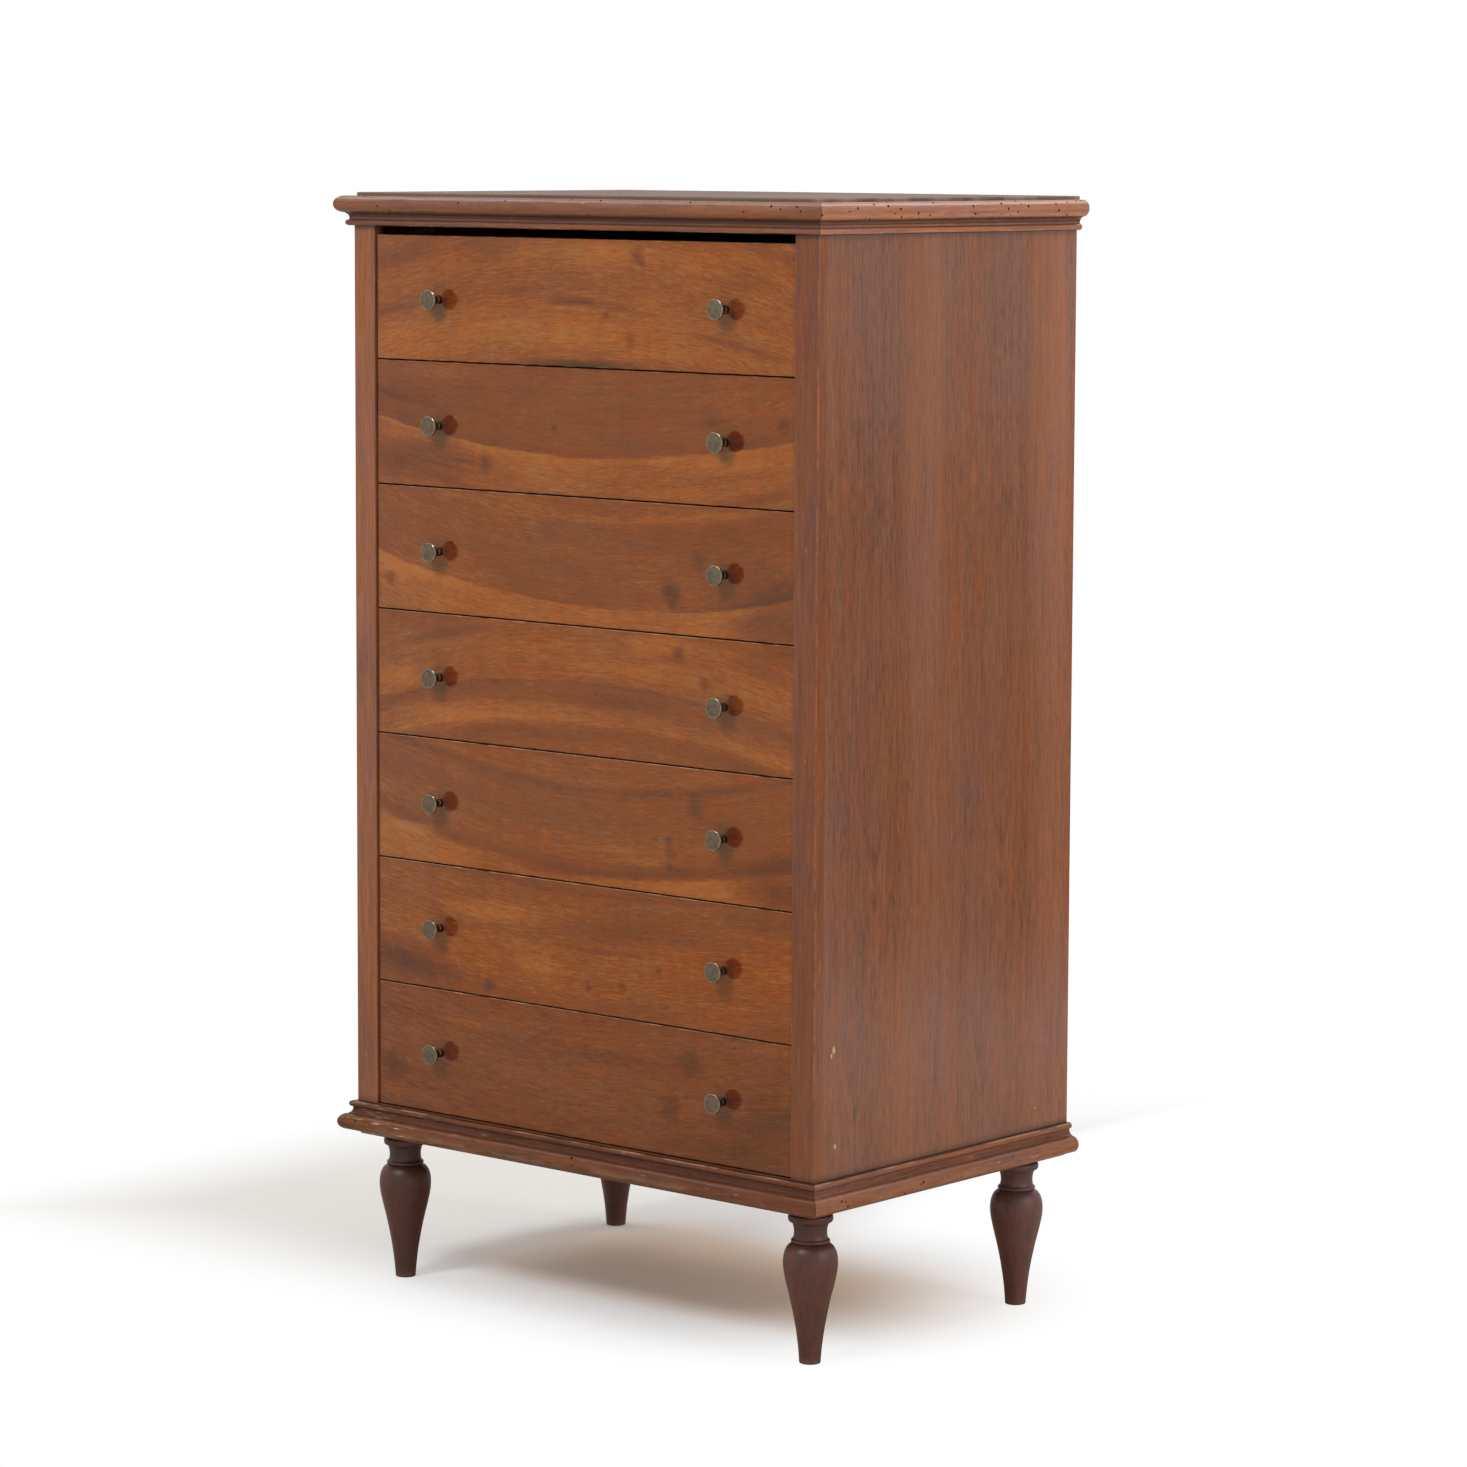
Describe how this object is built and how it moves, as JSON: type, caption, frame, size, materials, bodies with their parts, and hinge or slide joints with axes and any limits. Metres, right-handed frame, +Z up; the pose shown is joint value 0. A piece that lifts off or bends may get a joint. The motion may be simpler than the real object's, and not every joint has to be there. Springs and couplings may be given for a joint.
{
  "type": "chest of drawers",
  "caption": "Tall narrow chest of drawers in polished walnut, with round brass knobs, moulded cornice and base, and turned tapering legs.",
  "frame": {"origin": "on the floor, under the middle of the chest's bounding box", "axes": "+X to the right seen from the front, +Y from the front to the back, +Z up"},
  "size_m": [0.7346, 0.4824, 1.2775],
  "materials": {
    "side_walnut": "satin polished walnut with straight vertical grain",
    "post_walnut": "satin polished walnut, vertical grain",
    "top_walnut": "dull worn walnut, greyed",
    "moulding_walnut": "satin polished walnut moulding, worn along its edges",
    "front_veneer": "gloss polished walnut veneer with sweeping orange-brown figure",
    "leg_dark": "dark red-brown stained turned wood, semi-gloss",
    "rail_walnut": "plain walnut, thinly stained",
    "base_wood": "plain walnut, thinly stained",
    "frame_pine": "raw softwood, aged",
    "box_pine": "raw pale wood, aged",
    "box_ply": "thin plywood, aged",
    "back_ply": "thin plywood, aged and dull",
    "knob_brass": "aged turned brass, dull face and bright rim",
    "screw_steel": "dull steel"
  },
  "bodies": {
    "carcass": {"side_panel_left": "side_walnut", "side_panel_right": "side_walnut", "front_post_left": "post_walnut", "front_post_right": "post_walnut", "back_panel": "back_ply", "back_screws": "screw_steel", "top_board": "top_walnut", "base_board": "base_wood", "top_front_rail": "rail_walnut", "top_back_rail": "frame_pine", "bottom_rail": "rail_walnut", "drawer_rails": "frame_pine", "drawer_runners": "frame_pine", "drawer_guides": "frame_pine", "top_kickers": "frame_pine", "cornice_front": "moulding_walnut", "cornice_left": "moulding_walnut", "cornice_right": "moulding_walnut", "base_moulding_front": "moulding_walnut", "base_moulding_left": "moulding_walnut", "base_moulding_right": "moulding_walnut", "leg_front_left": "leg_dark", "leg_front_right": "leg_dark", "leg_back_left": "leg_dark", "leg_back_right": "leg_dark"},
    "drawer_1": {"drawer_1_front": "front_veneer", "drawer_1_sides": "box_pine", "drawer_1_back": "box_pine", "drawer_1_bottom": "box_ply", "drawer_1_knobs": "knob_brass"},
    "drawer_2": {"drawer_2_front": "front_veneer", "drawer_2_sides": "box_pine", "drawer_2_back": "box_pine", "drawer_2_bottom": "box_ply", "drawer_2_knobs": "knob_brass"},
    "drawer_3": {"drawer_3_front": "front_veneer", "drawer_3_sides": "box_pine", "drawer_3_back": "box_pine", "drawer_3_bottom": "box_ply", "drawer_3_knobs": "knob_brass"},
    "drawer_4": {"drawer_4_front": "front_veneer", "drawer_4_sides": "box_pine", "drawer_4_back": "box_pine", "drawer_4_bottom": "box_ply", "drawer_4_knobs": "knob_brass"},
    "drawer_5": {"drawer_5_front": "front_veneer", "drawer_5_sides": "box_pine", "drawer_5_back": "box_pine", "drawer_5_bottom": "box_ply", "drawer_5_knobs": "knob_brass"},
    "drawer_6": {"drawer_6_front": "front_veneer", "drawer_6_sides": "box_pine", "drawer_6_back": "box_pine", "drawer_6_bottom": "box_ply", "drawer_6_knobs": "knob_brass"},
    "drawer_7": {"drawer_7_front": "front_veneer", "drawer_7_sides": "box_pine", "drawer_7_back": "box_pine", "drawer_7_bottom": "box_ply", "drawer_7_knobs": "knob_brass"}
  },
  "joints": [
    {"name": "drawer_1_slide", "type": "slide", "parent": "carcass", "child": "drawer_1", "axis": [0, -1, 0], "range_m": [0, 0.34]},
    {"name": "drawer_2_slide", "type": "slide", "parent": "carcass", "child": "drawer_2", "axis": [0, -1, 0], "range_m": [0, 0.34]},
    {"name": "drawer_3_slide", "type": "slide", "parent": "carcass", "child": "drawer_3", "axis": [0, -1, 0], "range_m": [0, 0.34]},
    {"name": "drawer_4_slide", "type": "slide", "parent": "carcass", "child": "drawer_4", "axis": [0, -1, 0], "range_m": [0, 0.34]},
    {"name": "drawer_5_slide", "type": "slide", "parent": "carcass", "child": "drawer_5", "axis": [0, -1, 0], "range_m": [0, 0.34]},
    {"name": "drawer_6_slide", "type": "slide", "parent": "carcass", "child": "drawer_6", "axis": [0, -1, 0], "range_m": [0, 0.34]},
    {"name": "drawer_7_slide", "type": "slide", "parent": "carcass", "child": "drawer_7", "axis": [0, -1, 0], "range_m": [0, 0.34]}
  ]
}
